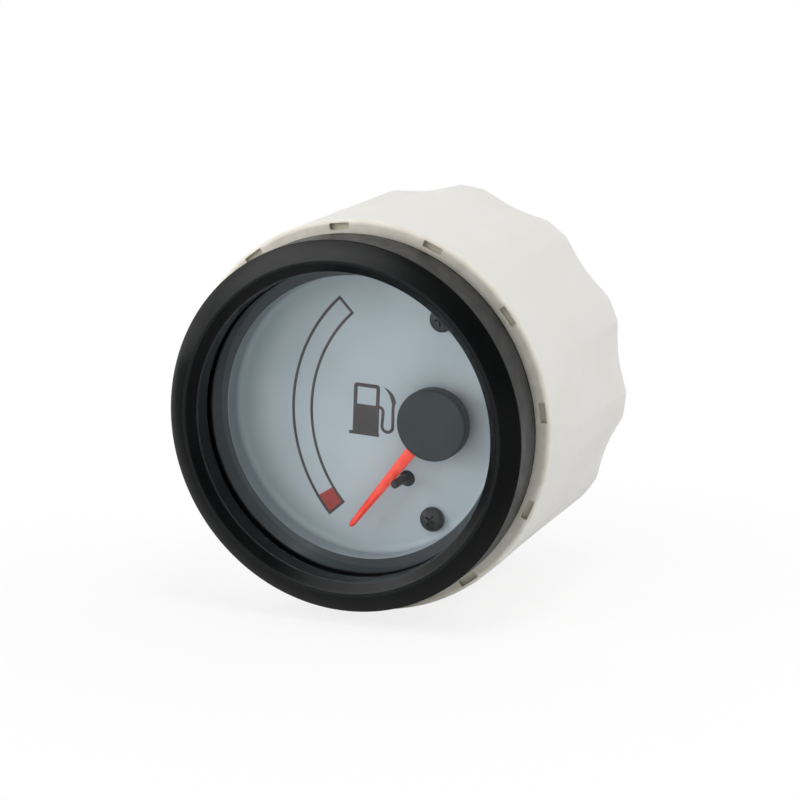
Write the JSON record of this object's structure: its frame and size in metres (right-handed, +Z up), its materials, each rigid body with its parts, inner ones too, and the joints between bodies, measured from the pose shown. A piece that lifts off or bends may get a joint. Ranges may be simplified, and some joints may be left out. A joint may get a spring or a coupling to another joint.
{
  "type": "fuel gauge",
  "caption": "Round electrical fuel gauge for a dashboard hole, with a domed black bezel, a pale dial, an offset red pointer and a fluted white nut that clamps it from behind.",
  "frame": {"origin": "on the gauge's axis, in the plane of the bezel's back, where the panel's front face lies", "axes": "+Y along the axis from the dial to the terminals, so the dial faces -Y; +Z is up on the dial and +X is to the right as the dial is read"},
  "size_m": [0.0638, 0.0589, 0.0638],
  "materials": {
    "bezel_black": "gloss black moulded ring with a soft sheen on its side",
    "lens_clear": "clear polished window",
    "seal_rubber": "matt black rubber",
    "shroud_grey": "satin dark grey moulding",
    "dial_face": "pale blue-grey satin print",
    "screw_black": "blackened steel",
    "guide_clear": "clear acrylic",
    "frame_white": "white moulded plastic",
    "bearing_brass": "turned brass",
    "bobbin_natural": "natural moulded plastic",
    "coil_copper": "enamelled copper winding",
    "can_steel": "drawn steel",
    "board_green": "green solder-masked board",
    "resistor_ceramic": "pale ceramic block",
    "case_black": "black moulded case with a fine grain",
    "screw_steel": "zinc-plated steel",
    "blade_brass": "tinned brass strip",
    "pointer_red": "bright orange-red paint",
    "cap_grey": "satin dark blue-grey moulding",
    "spindle_steel": "ground steel",
    "magnet_grey": "bonded ferrite",
    "holder_black": "dark grey nylon",
    "bulb_glass": "clear glass",
    "washer_black": "smooth black nylon",
    "nut_white": "warm white moulded nylon"
  },
  "bodies": {
    "gauge": {"bezel": "bezel_black", "lens": "lens_clear", "lens_gasket": "seal_rubber", "shroud": "shroud_grey", "dial": "dial_face", "dial_screws": "screw_black", "stop_pin": "screw_black", "light_guide": "guide_clear", "movement_frame": "frame_white", "front_bearing": "bearing_brass", "rear_bearing": "bearing_brass", "bobbin_front": "bobbin_natural", "bobbin_rear": "bobbin_natural", "coil_inner": "coil_copper", "coil_outer": "coil_copper", "shield_can": "can_steel", "circuit_board": "board_green", "ballast_resistor": "resistor_ceramic", "case": "case_black", "case_screws": "screw_steel", "panel_seal": "seal_rubber", "supply_blade": "blade_brass", "sender_blade": "blade_brass", "earth_blade": "blade_brass"},
    "needle": {"pointer": "pointer_red", "pointer_cap": "cap_grey", "spindle": "spindle_steel", "rotor_magnet": "magnet_grey"},
    "bulb_unit": {"bulb_holder": "holder_black", "bulb": "bulb_glass"},
    "washer": {"slip_washer": "washer_black"},
    "nut": {"clamp_nut": "nut_white"}
  },
  "joints": [
    {"name": "pointer_sweep", "type": "hinge", "parent": "gauge", "child": "needle", "pos_m": [0.0123, 0, 0], "axis": [0, 1, 0], "range_deg": [0, 106]},
    {"name": "nut_travel", "type": "slide", "parent": "gauge", "child": "washer", "axis": [0, 1, 0], "range_m": [0, 0.009]},
    {"name": "nut_turn", "type": "hinge", "parent": "washer", "child": "nut", "pos_m": [0, 0, 0], "axis": [0, 1, 0], "range_deg": [0, 1080]},
    {"name": "bulb_holder_twist", "type": "hinge", "parent": "gauge", "child": "bulb_unit", "pos_m": [-0.006, 0.041, -0.009], "axis": [0, 1, 0], "range_deg": [0, 60]}
  ],
  "couplings": [
    {"joint": "nut_travel", "follows": "nut_turn", "m_per_rad": 0.00047746}
  ]
}
